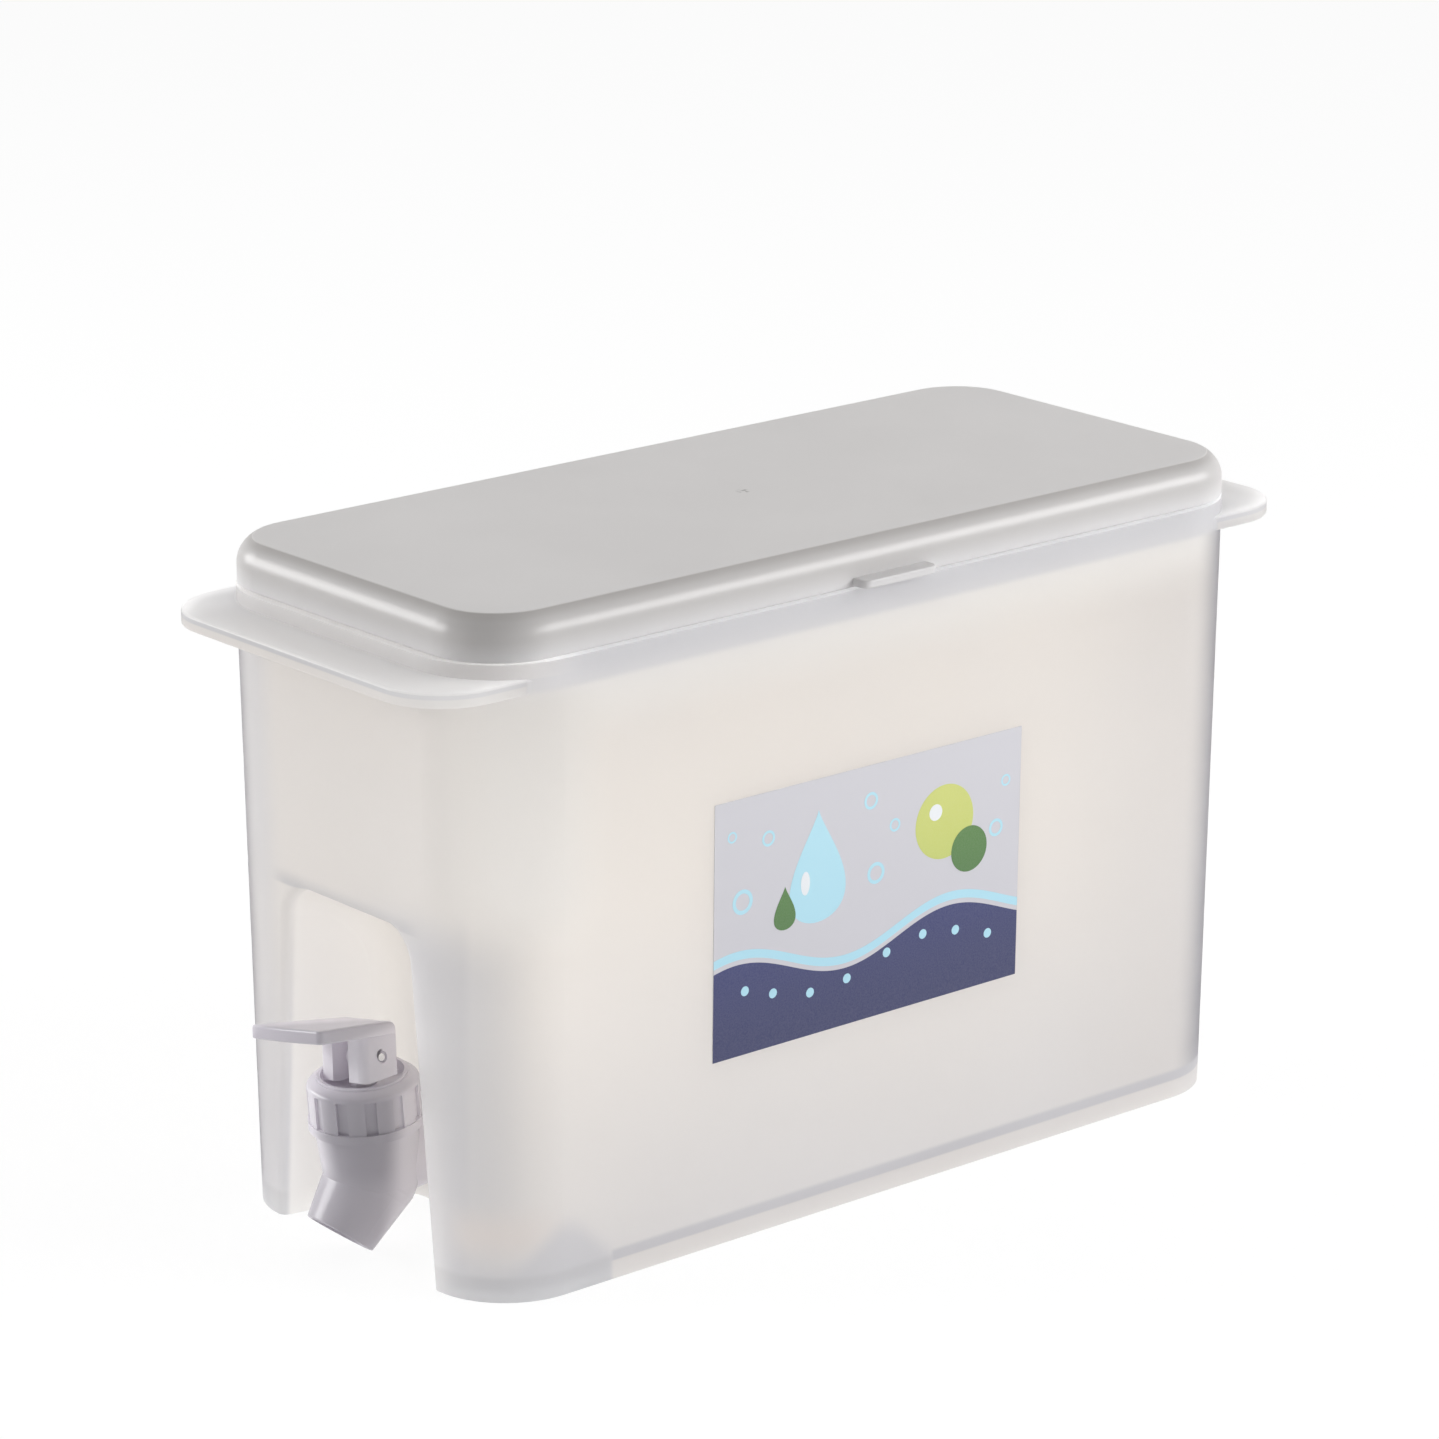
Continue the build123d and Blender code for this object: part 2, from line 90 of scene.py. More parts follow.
# Steel is rougher along its drawn grain, and print shows a trace of paler grain
STEEL_ROUGHNESS = 0.16
STEEL_GRAIN = 0.15
FILM_GRAIN = 0.06
INK_GRAIN = 0.08

# Colour sockets of the Mix node, which has a pair and a result for each kind of data
MIX_FIRST = 6
MIX_SECOND = 7
MIX_RESULT = 2

# Sizes and places on the tank that its tones of painted light and shade follow
TANK_DRAFT = math.radians(0.953)
PLUG_FOOT = 157.6 * MM
FLANGE_TOP = 161.2 * MM
RIM_HALF_WIDTH = 58.43 * MM
RIM_HALF_LENGTH = 130.98 * MM
RIM_CORNER = 25.4 * MM
ARCH_TOP = 92.0 * MM
LEG_BACK = -90.5 * MM
HUMP_MIDDLE = -105.0 * MM
HUMP_RISE = 12.0 * MM
LEG_FLOOR = 6.5 * MM
WARM_FOOT_MIDDLE = 18.0 * MM

# Edges on the tank's walls, where their painted light and shade change
LOW_WALL = (52.0 * MM, 60.0 * MM)
REAR_WALL = (90.0 * MM, 50.0 * MM)
HEAD_SIDE = (50.0 * MM, 3.0 * MM)
HEAD_FOOT = (149.0 * MM, 8.0 * MM)
FRONT_WALL = (-126.5 * MM, 1.0 * MM)
FAR_STRIP = (-30.0 * MM, 5.0 * MM)
# Painted shade: two opposite corners of the tank, where x and y have the same sign, are greyer
SHADED_CORNER_END = (115.0 * MM, 8.0 * MM)
SHADED_CORNER_SIDE = (43.0 * MM, 6.0 * MM)
SHADED_CORNER_PAIR = (0.0, 1000.0 * MM * MM)
# Painted light: the near upper corner is paler, and lets more light through
CLEAR_LIT_CORNER_BACK = (-100.0 * MM, 10.0 * MM)
CLEAR_LIT_CORNER_SIDE = (44.0 * MM, 9.0 * MM)
CLEAR_LIT_CORNER_FOOT = (98.0 * MM, 12.0 * MM)

# Edges on the front legs, on the recess between them and on the foot, where their painted light and shade
# change
LEG_EDGE = (LEG_BACK, 2.0 * MM)
FOOT_EDGE = (LEG_BACK, 0.8 * MM)
LEG_INSIDE = (36.0 * MM, 1.5 * MM)
NEAR_HALF = (14.0 * MM, 20.0 * MM)
LEG_SHADE_BACK = (-120.0 * MM, 8.0 * MM)
LEG_SHADE_TOP = (93.0 * MM, 10.0 * MM)
FRONT_SHADE_TOP = (50.0 * MM, 35.0 * MM)
WARM_FOOT_BACK = (-110.0 * MM, 8.0 * MM)
WARM_FOOT_SIDE = (40.0 * MM, 5.0 * MM)
WARM_FOOT_HALF = (5.0 * MM, 5.0 * MM)
HUMP_HALF = (9.0 * MM, 9.0 * MM)
HUMP_SHADE = (0.0, 4.0 * MM)
LEG_FLOOR_TOP = (LEG_FLOOR, 1.0 * MM)
FLOOR_LINE = (7.8 * MM, 0.7 * MM)
FOOT_RIM = (5.0 * MM, 0.3 * MM)
ARCH_LINE_FOOT = (ARCH_TOP, 0.4 * MM)
ARCH_LINE_TOP = (ARCH_TOP + 2.5 * MM, 2.5 * MM)
ARCH_LINE_END = (28.0 * MM, 4.0 * MM)

# Edges on the tank's rim and end tabs, where their painted light and shade change
RIM_FOOT = (PLUG_FOOT, 1.0 * MM)
RIM_WALL_FOOT = (FLANGE_TOP, 0.2 * MM)
RIM_WALL_BACK = (-108.0 * MM, 9.0 * MM)
TAB_START = (RIM_CORNER + 0.6 * MM, 0.3 * MM)
TAB_HALVES = (0.0, 1.0 * MM)
TAB_TOP = (FLANGE_TOP, 0.1 * MM)
SKIRT_TOP = (FLANGE_TOP - 1.6 * MM, 0.25 * MM)
TAB_LINE_FOOT = (FLANGE_TOP - 0.5 * MM, 0.1 * MM)
TAB_LINE_TOP = (FLANGE_TOP, 0.03 * MM)

# Edges of the painted shade and light on the lid, and the scar of the moulding gate in its middle
LID_FLAT = 176.7 * MM
LID_CREASE = (LID_FLAT - 0.15 * MM, 0.1 * MM)
LID_SHOULDER = (LID_FLAT - 1.2 * MM, 0.9 * MM)
LID_SIDE = (168.0 * MM, 3.0 * MM)
GATE_RADIUS = 1.6 * MM
GATE_EDGE = (GATE_RADIUS, GATE_RADIUS / 3)
GATE_SPECKS = (0.52, 0.04)

# Edges on the tap: its far flank and its back are paler as painted light, and a painted shadow shows in the
# gap round the lever's pin
SPOUT_TOP = (22.0 * MM, 4.0 * MM)
FAR_FLANK = (0.5 * MM, 4.0 * MM)
BACK_FLANK = (-125.5 * MM, 3.5 * MM)
COLLAR_TOP = (45.5 * MM, 1.5 * MM)
PLATE_FOOT = (61.5 * MM, 1.5 * MM)
PLATE_TIP = (-146.8 * MM, 0.8 * MM)
PIN_BACK = -125.96 * MM
PIN_HEIGHT = 55.0 * MM
PIN_GAP = (1.5 * MM, 0.1 * MM)
PIN_GAP_SIDE = (6.0 * MM, 1.0 * MM)
PIN_GAP_BACK = (0.2 * MM, 0.5 * MM)

# Sticker: its film is a solid of the frame, and its print lies on the film in layers of ink
FILM_THICK = 0.15 * MM
INK_THICK = 0.03 * MM
FILM_BLEND = (84.0 * MM, 50.0 * MM)
INK_BLEND = (80.0 * MM, 34.0 * MM)
BLEED = 0.05 * MM
ROUND_STEPS = 64
WAVE_STEPS = 96
WAVE_LEVEL = 20.0 * MM
WAVE_RISE = 4.5 * MM
WAVE_LENGTH = 72.0 * MM
WAVE_START = 0.9
CREST_LOW = 1.3 * MM
CREST_HIGH = 3.6 * MM

# Dots under the wave: how far they lie below it, and how that sways along the sticker
DOT_SHARES = (0.10, 0.19, 0.31, 0.43, 0.56, 0.68, 0.79, 0.90)
DOT_RADIUS = 1.3 * MM
DOT_DEPTH = 5.0 * MM
DOT_SWAY = 3.0 * MM
DOT_SWAY_RATE = 9

# Places on the sticker, as shares of its length and height
BUBBLE_SHARES = (
    (0.09, 0.60), (0.17, 0.82), (0.055, 0.86), (0.52, 0.57),
    (0.58, 0.74), (0.50, 0.86), (0.92, 0.62), (0.95, 0.80),
)
BUBBLE_RADII = (3.3 * MM, 2.1 * MM, 1.5 * MM, 2.9 * MM, 1.8 * MM, 2.3 * MM, 2.4 * MM, 1.6 * MM)
BUBBLE_HOLE_SHARE = 0.68
BIG_DROP_SHARES = (0.33, 0.66)
BIG_DROP_RADIUS = 10.5 * MM
BIG_DROP_HEIGHT = 30.0 * MM
SMALL_DROP_SHARES = (0.225, 0.53)
SMALL_DROP_RADIUS = 4.0 * MM
SMALL_DROP_HEIGHT = 11.5 * MM
DROP_FULLNESS = 1.3
DROP_TAPER = 1.6
LIME_DISC_SHARES = (0.745, 0.70)
LIME_DISC_RADIUS = 10.0 * MM
GREEN_DISC_SHARES = (0.83, 0.565)
GREEN_DISC_RADIUS = 6.2 * MM
DROP_SHINE_SHARES = (0.29, 0.605)
DROP_SHINE_RADIUS = 1.5 * MM
DROP_SHINE_STRETCH = 2.1
DISC_SHINE_SHARES = (0.715, 0.745)
DISC_SHINE_RADIUS = 2.2 * MM

# Return spring, along the tap's tilted axis from the tap's own middle
TAP_PLACE = Vector((0.0, -123.435 * MM, 23.0 * MM))
TAP_TILT = math.radians(4.5)
COIL_FOOT = 11.05 * MM
COIL_HEIGHT = 8.4 * MM
COIL_TURNS = 4.5
COIL_PITCH = COIL_HEIGHT / COIL_TURNS
COIL_RADIUS = 6.0 * MM
COIL_STEPS = 40
WIRE_RADIUS = 0.45 * MM
WIRE_SIDES = 12


def paint(red, green, blue):
    """A screen colour, 0 to 255, as linear RGBA."""
    linear = Color((red / 255, green / 255, blue / 255)).from_srgb_to_scene_linear()
    return (*linear, 1.0)


def add_node(tree, kind, **settings):
    """A new node in a tree, with its own settings."""
    made = tree.nodes.new(kind)
    for key, value in settings.items():
        setattr(made, key, value)
    return made


class Shader:
    """A material's node tree with short calls for the nodes used here."""

    def __init__(self, name):
        self.material = bpy.data.materials.new(name)
        self.material.use_nodes = True
        self.tree = self.material.node_tree
        self.surface = self.tree.nodes["Principled BSDF"]
        self.place = self.node("ShaderNodeTexCoord").outputs["Object"]
        split = self.node("ShaderNodeSeparateXYZ")
        self.join(self.place, split.inputs[0])
        self.x, self.y, self.z = split.outputs

    def node(self, kind, **settings):
        return add_node(self.tree, kind, **settings)

    def join(self, source, socket):
        """Puts a number, a colour or another node's output into a socket."""
        if isinstance(source, bpy.types.NodeSocket):
            self.tree.links.new(source, socket)
        else:
            socket.default_value = source

    def set(self, **values):
        """Sets the surface's own sockets: base_color, roughness and so on."""
        for key, value in values.items():
            socket = key.replace("_", " ").title().replace("Ior", "IOR")
            self.join(value, self.surface.inputs[socket])

    def math(self, operation, first, second=0.0, third=0.0):
        made = self.node("ShaderNodeMath", operation=operation)
        for value, socket in zip((first, second, third), made.inputs):
            self.join(value, socket)
        return made.outputs[0]

    def unsigned(self, value):
        """The value without its sign."""
        return self.math("ABSOLUTE", value)

    def length(self, across, upward):
        """The length of the line with these two legs."""
        squares = [self.math("MULTIPLY", leg, leg) for leg in (across, upward)]
        return self.math("SQRT", self.math("ADD", *squares))

    def all_of(self, *masks):
        """The product of some masks."""
        product = masks[0]
        for mask in masks[1:]:
            product = self.math("MULTIPLY", product, mask)
        return product

    def any_of(self, *masks):
        """The largest of some masks."""
        largest = masks[0]
        for mask in masks[1:]:
            largest = self.math("MAXIMUM", largest, mask)
        return largest

    def opposite_of(self, mask):
        """1 where the mask is 0, and 0 where it is 1."""
        return self.math("SUBTRACT", 1.0, mask)

    def above(self, value, edge):
        """0 below the edge and 1 above it, smooth across its blend."""
        level, blend = edge
        made = self.node("ShaderNodeMapRange", interpolation_type="SMOOTHSTEP")
        self.join(value, made.inputs["Value"])
        made.inputs["From Min"].default_value = level - blend
        made.inputs["From Max"].default_value = level + blend
        return made.outputs[0]

    def below(self, value, edge):
        """1 below the edge and 0 above it, smooth across its blend."""
        return self.opposite_of(self.above(value, edge))

    def noise(self, scale, detail, stretch=(1.0, 1.0, 1.0)):
        mapping = self.node("ShaderNodeMapping")
        self.join(self.place, mapping.inputs["Vector"])
        mapping.inputs["Scale"].default_value = stretch
        made = self.node("ShaderNodeTexNoise")
        self.join(mapping.outputs[0], made.inputs["Vector"])
        made.inputs["Scale"].default_value = scale
        made.inputs["Detail"].default_value = detail
        return made.outputs["Fac"]

    def mix(self, share, first, second):
        """The first colour where the share is 0, and the second where it is 1."""
        made = self.node("ShaderNodeMix", data_type="RGBA")
        self.join(share, made.inputs[0])
        self.join(first, made.inputs[MIX_FIRST])
        self.join(second, made.inputs[MIX_SECOND])
        return made.outputs[MIX_RESULT]

    def bump(self, height, distance, strength):
        made = self.node("ShaderNodeBump")
        made.inputs["Strength"].default_value = strength
        made.inputs["Distance"].default_value = distance
        self.join(height, made.inputs["Height"])
        self.join(made.outputs[0], self.surface.inputs["Normal"])

    def let_through(self, share, tint):
        """Turns a share of the surface into a sheet that scatters light through to its other side."""
        through = self.node("ShaderNodeBsdfTranslucent")
        self.join(tint, through.inputs["Color"])
        both = self.node("ShaderNodeMixShader")
        self.join(share, both.inputs[0])
        self.join(self.surface.outputs[0], both.inputs[1])
        self.join(through.outputs[0], both.inputs[2])
        self.join(both.outputs[0], self.tree.nodes["Material Output"].inputs["Surface"])


class TankPlaces:
    """Masks of the main places on the tank."""

    def __init__(self, s):
        self.side = s.unsigned(s.x)
        self.end = s.unsigned(s.y)
        self.in_front = s.below(s.y, FRONT_WALL)
        self.near_half = s.above(s.x, NEAR_HALF)
        self.leg_height = s.below(s.z, LEG_SHADE_TOP)
        leg_skin = s.any_of(self.in_front, s.above(self.side, LEG_INSIDE))
        leg_length = s.below(s.y, LEG_EDGE)
        self.leg_outside = s.all_of(leg_length, leg_skin)
        self.leg_shade = s.all_of(leg_skin, s.below(s.y, LEG_SHADE_BACK), self.leg_height, self.near_half)
        self.recess = s.all_of(leg_length, s.opposite_of(leg_skin))
        self.behind_legs = s.above(s.y, FOOT_EDGE)

        # Painted shade on the two corners where x and y have the same sign
        draft = math.tan(TANK_DRAFT)
        spread = s.math("MULTIPLY_ADD", s.z, -draft, PLUG_FOOT * draft)
        self.shaded_corner = s.all_of(
            s.above(s.math("ADD", self.end, spread), SHADED_CORNER_END),
            s.above(s.math("ADD", self.side, spread), SHADED_CORNER_SIDE),
            s.above(s.math("MULTIPLY", s.x, s.y), SHADED_CORNER_PAIR),
        )
        # Painted light on the near upper corner, which also lets more light through
        self.clear_lit_corner = s.all_of(
            s.below(s.y, CLEAR_LIT_CORNER_BACK),
            s.above(s.x, CLEAR_LIT_CORNER_SIDE),
            s.above(s.z, CLEAR_LIT_CORNER_FOOT),
        )


def wall_tones(s, at):
    """Tones of the tank's walls, painted light and shade: a mask, the surface's colour and what the wall
    lets through.
    """
    lit_upper_sides = s.all_of(s.above(at.side, HEAD_SIDE), s.above(s.z, HEAD_FOOT))
    far_strip_shade = s.all_of(at.in_front, s.below(s.x, FAR_STRIP))
    return [
        # painted shade: darker low on the walls
        (s.below(s.z, LOW_WALL), (233, 230, 229), (0.958, 0.953, 0.948)),
        # painted shade: darker towards the rear end
        (s.above(s.y, REAR_WALL), (224, 219, 215), (0.938, 0.928, 0.918)),
        # painted light: paler high on the long sides
        (lit_upper_sides, (255, 252, 247), (1.0, 0.995, 0.985)),
        # painted shade: a little darker on the front face
        (at.in_front, (238, 233, 228), (0.965, 0.957, 0.947)),
        # painted shade: greyer on the far side of the front
        (far_strip_shade, (224, 223, 224), (0.94, 0.937, 0.937)),
        # painted shade on two opposite corners
        (at.shaded_corner, (156, 157, 166), (0.675, 0.675, 0.70)),
        # painted light on the near upper corner
        (at.clear_lit_corner, (255, 252, 247), (1.0, 0.995, 0.985)),
    ]


def leg_tones(s, at):
    """Tones of the front legs, of the recess with the line over its arch, and of the foot: painted light and
    shade.
    """
    front_leg_shade = s.all_of(at.in_front, at.leg_height, at.near_half)
    front_shade = s.all_of(at.in_front, s.below(s.z, FRONT_SHADE_TOP))
    warm_height = s.below(s.unsigned(s.math("SUBTRACT", s.z, WARM_FOOT_MIDDLE)), WARM_FOOT_HALF)
    warm_light_place = s.all_of(s.below(s.y, WARM_FOOT_BACK), s.above(s.x, WARM_FOOT_SIDE), warm_height)
    hump = s.below(s.unsigned(s.math("SUBTRACT", s.y, HUMP_MIDDLE)), HUMP_HALF)
    hump_edge = s.math("MULTIPLY_ADD", hump, HUMP_RISE, LEG_FLOOR)
    under_hump_shade = s.above(s.math("SUBTRACT", hump_edge, s.z), HUMP_SHADE)
    arch_shade_line = s.all_of(
        at.in_front,
        s.above(s.z, ARCH_LINE_FOOT),
        s.below(s.z, ARCH_LINE_TOP),
        s.below(at.side, ARCH_LINE_END),
    )
    return [
        # painted shade where the near leg lies behind the side wall
        (at.leg_shade, (206, 205, 209), (0.95, 0.95, 0.952)),
        # painted shade, deeper, on the front of the near leg
        (front_leg_shade, (190, 190, 196), (0.91, 0.91, 0.92)),
        # painted shade low on the front face
        (front_shade, (200, 200, 206), (0.92, 0.92, 0.93)),
        # painted light: a warm glow low on the near leg
        (s.all_of(at.leg_outside, warm_light_place), (232, 222, 216), (0.965, 0.95, 0.94)),
        # painted shade under the hump of the legs' floor
        (s.all_of(at.leg_outside, under_hump_shade), (204, 204, 209), (0.91, 0.91, 0.92)),
        # painted shade where the legs' floor lies behind the wall
        (s.all_of(at.leg_outside, s.below(s.z, LEG_FLOOR_TOP)), (190, 190, 194), (0.87, 0.87, 0.88)),
        # painted shade where the tank's floor lies behind the wall
        (s.all_of(at.behind_legs, s.below(s.z, FLOOR_LINE)), (188, 188, 196), (0.85, 0.85, 0.865)),
        # painted light on the foot rim under the floor
        (s.all_of(at.behind_legs, s.below(s.z, FOOT_RIM)), (234, 228, 223), (0.95, 0.94, 0.932)),
        # painted light: the recess is paler, as if lit through the tank
        (at.recess, (255, 250, 243), (1.0, 0.99, 0.975)),
        # painted shade: a dark line over the arch
        (arch_shade_line, (178, 179, 184), (0.87, 0.87, 0.88)),
    ]


def rim_tones(s, at):
    """Tones of the rim, as painted shade where the lid's skirt is behind it, and painted light and shade on
    the two end tabs.
    """
    past_side = s.math("MAXIMUM", s.math("SUBTRACT", at.side, RIM_HALF_WIDTH - RIM_CORNER), 0.0)
    past_end = s.math("MAXIMUM", s.math("SUBTRACT", at.end, RIM_HALF_LENGTH - RIM_CORNER), 0.0)
    on_tabs = s.above(s.length(past_side, past_end), TAB_START)
    rim = s.above(s.z, RIM_FOOT)
    rim_wall = s.all_of(s.above(s.z, RIM_WALL_FOOT), s.below(s.y, RIM_WALL_BACK))
    front_tab = s.all_of(on_tabs, rim, s.below(s.y, TAB_HALVES))
    rear_tab = s.all_of(on_tabs, rim, s.above(s.y, TAB_HALVES))
    tab_highlight = s.all_of(on_tabs, s.above(s.z, TAB_LINE_FOOT), s.below(s.z, TAB_LINE_TOP))
    return [
        # painted shade where the lid's skirt lies behind the rim
        (rim, (221, 221, 224), (0.96, 0.96, 0.965)),
        # painted light on the front of the rim's wall
        (rim_wall, (248, 246, 245), (0.99, 0.985, 0.98)),
        # painted shade on the front tab
        (front_tab, (182, 179, 178), (0.87, 0.87, 0.87)),
        # painted shade on the rear tab, lighter than on the front one
        (rear_tab, (205, 200, 196), (0.90, 0.90, 0.895)),
        # painted shade on the upper part of the tabs' edges
        (s.all_of(on_tabs, s.below(s.z, TAB_TOP)), (196, 197, 203), (0.91, 0.91, 0.92)),
        # painted light low on the tabs' edges
        (s.all_of(on_tabs, s.below(s.z, SKIRT_TOP)), (242, 235, 229), (0.975, 0.968, 0.96)),
        # painted highlight along the tabs' top edge
        (tab_highlight, (250, 250, 250), (0.985, 0.985, 0.985)),
    ]


def tank_plastic():
    """Translucent natural plastic, warm where light comes through the hollow tank. Its tones are painted
    light and shade:
    greyer in two corners and where the legs, the lid's skirt and the floor's edge lie behind the wall, and
    paler on the recess, a corner, the upper sides and the rim's front."""
    s = Shader("tank_plastic")
    at = TankPlaces(s)
    colour = paint(250, 244, 237)
    passed = (0.988, 0.976, 0.961, 1.0)
    for mask, tone, lets in wall_tones(s, at) + leg_tones(s, at) + rim_tones(s, at):
        colour = s.mix(mask, colour, paint(*tone))
        passed = s.mix(mask, passed, (*lets, 1.0))
    clouds = s.above(s.noise(scale=14.0, detail=2.0), WALL_CLOUDS)
    colour = s.mix(s.math("MULTIPLY", clouds, CLOUD_SHARE), colour, paint(236, 236, 239))
    s.set(base_color=colour, roughness=0.22, ior=PLASTIC_IOR, specular_ior_level=0.8)
    s.bump(s.noise(scale=700.0, detail=2.0), distance=0.02 * MM, strength=0.4)
    clearer = s.any_of(at.shaded_corner, at.clear_lit_corner, at.recess)
    s.let_through(s.math("MULTIPLY_ADD", clearer, WALL_THROUGH_MORE, WALL_THROUGH), passed)
    return s.material


def lid_plastic():
    """The same plastic as the tank, thicker and with a fine matt grain, with painted shade round the crease
    and on the shoulder and painted light on its lower side.
    """
    s = Shader("lid_plastic")
    clouds = s.above(s.noise(scale=20.0, detail=3.0), LID_CLOUDS)
    tone = s.mix(clouds, paint(234, 232, 231), paint(228, 226, 225))
    # painted shade along the crease
    tone = s.mix(s.below(s.z, LID_CREASE), tone, paint(196, 193, 191))
    # painted shade on the shoulder
    tone = s.mix(s.below(s.z, LID_SHOULDER), tone, paint(209, 207, 206))
    # painted light: paler low on the side
    tone = s.mix(s.below(s.z, LID_SIDE), tone, paint(235, 234, 235))
    specks = s.above(s.noise(scale=900.0, detail=2.0), GATE_SPECKS)
    scar = s.all_of(s.below(s.length(s.x, s.y), GATE_EDGE), specks)
    tone = s.mix(scar, tone, paint(150, 148, 146))
    s.set(base_color=tone, roughness=0.3, ior=PLASTIC_IOR, specular_ior_level=0.5)
    s.bump(s.noise(scale=1500.0, detail=2.0), distance=0.02 * MM, strength=0.5)
    s.let_through(LID_THROUGH, paint(244, 242, 241))
    return s.material


def tap_tone(s, light_tone, dark_tone):
    """White plastic, a little cool, with a faint flow grain, and painted light: paler on the spout, its far
    flank and its back.
    """
    flow = s.noise(scale=60.0, detail=3.0, stretch=(1.0, 1.0, 0.25))
    tone = s.mix(s.above(flow, TAP_FLOW), light_tone, dark_tone)
    # painted light: paler on the spout
    tone = s.mix(s.below(s.z, SPOUT_TOP), tone, paint(210, 207, 213))
    # painted light on the far flank and the back
    lit_far_flank = s.all_of(s.below(s.x, FAR_FLANK), s.above(s.z, SPOUT_TOP))
    return s.mix(s.any_of(lit_far_flank, s.above(s.y, BACK_FLANK)), tone, paint(252, 249, 254))


def tap_finish(s, tone):
    """The satin surface that all white plastic of the tap has, in this tone."""
    s.set(base_color=tone, roughness=0.24)
    s.bump(s.noise(scale=900.0, detail=2.0), distance=0.01 * MM, strength=0.5)
    s.let_through(TAP_THROUGH, paint(240, 236, 242))


def tap_plastic():
    """Plastic of the tap's casting, collar and nut: the lever's white plastic, darker as painted shade, with
    painted light on the collar's top.
    """
    s = Shader("tap_plastic")
    # painted shade: a darker tone than the lever's
    tone = tap_tone(s, paint(196, 193, 200), paint(190, 187, 194))
    # painted light on the collar's top
    tap_finish(s, s.mix(s.above(s.z, COLLAR_TOP), tone, paint(238, 235, 241)))
    return s.material


def lever_plastic():
    """Plastic of the lever and the stem, with painted shade on the finger plate and its tip, and a painted
    shadow in the gap round the pin.
    """
    s = Shader("lever_plastic")
    tone = tap_tone(s, paint(250, 248, 252), paint(244, 242, 247))
    # painted shade on the finger plate
    tone = s.mix(s.above(s.z, PLATE_FOOT), tone, paint(214, 212, 217))
    # painted shade at the plate's tip
    tone = s.mix(s.below(s.y, PLATE_TIP), tone, paint(195, 192, 199))
    # painted shadow in the gap round the pin
    behind_pin = s.math("SUBTRACT", s.y, PIN_BACK)
    over_pin = s.math("SUBTRACT", s.z, PIN_HEIGHT)
    gap = s.all_of(
        s.below(s.length(behind_pin, over_pin), PIN_GAP),
        s.above(s.x, PIN_GAP_SIDE),
        s.below(behind_pin, PIN_GAP_BACK),
    )
    tap_finish(s, s.mix(gap, tone, paint(70, 67, 70)))
    return s.material


def steel():
    """Drawn stainless steel of the pin and the spring."""
    s = Shader("pin_steel")
    drawn = s.noise(scale=2600.0, detail=2.0, stretch=(0.05, 1.0, 1.0))
    s.set(base_color=paint(232, 232, 234), metallic=1.0)
    s.set(roughness=s.math("MULTIPLY_ADD", drawn, STEEL_GRAIN, STEEL_ROUGHNESS))
    return s.material


def silicone():
    """Clear matt silicone of the seal, the ring and the washers."""
    s = Shader("seal_rubber")
    tone = s.mix(s.noise(scale=300.0, detail=2.0), paint(218, 217, 213), paint(208, 207, 203))
    s.set(base_color=tone, roughness=0.55)
    return s.material


def print_film():
    """The sticker's film, pale lavender, a shade deeper towards its foot."""
    s = Shader("sticker_film")
    tone = s.mix(s.above(s.z, FILM_BLEND), paint(203, 202, 209), paint(210, 209, 215))
    grain = s.math("MULTIPLY", s.noise(scale=2200.0, detail=1.0), FILM_GRAIN)
    s.set(base_color=s.mix(grain, tone, paint(225, 225, 230)), roughness=0.3)
    return s.material


def ink(name, low_tone, high_tone):
    """Printed ink: a gentle blend from one tone at the sticker's foot to another at its top."""
    s = Shader(name)
    tone = s.mix(s.above(s.z, INK_BLEND), paint(*low_tone), paint(*high_tone))
    grain = s.math("MULTIPLY", s.noise(scale=2600.0, detail=1.0), INK_GRAIN)
    s.set(base_color=s.mix(grain, tone, paint(235, 235, 240)), roughness=0.28)
    return s.material


def dress(frame, metal):
    """Gives every node of the frame its material."""
    # The tap's plastic is the lever's white plastic with painted shade
    white = tap_plastic()
    lever_white = lever_plastic()
    soft = silicone()
    coats = {
        "tank": tank_plastic(),
        "lid": lid_plastic(),
        "label": print_film(),
        "tap_body": white,
        "collar_nut": white,
        "lock_nut": white,
        "lever": lever_white,
        "valve_stem": lever_white,
        "pivot_pin": metal,
        "return_spring": metal,
        "valve_seal": soft,
        "stem_ring": soft,
        "outer_washer": soft,
        "inner_washer": soft,
    }
    for name, material in coats.items():
        node = frame["nodes"][name]
        node.data.materials.clear()
        node.data.materials.append(material)


def make_piece(name, build, material):
    """Turns a bmesh into an object that rides on the tank's body."""
    bmesh.ops.recalc_face_normals(build, faces=build.faces)
    mesh = bpy.data.meshes.new(name)
    build.to_mesh(mesh)
    build.free()
    mesh.materials.append(material)
    piece = bpy.data.objects.new(name, mesh)
    bpy.context.scene.collection.objects.link(piece)
    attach(piece, "tank")
    return piece


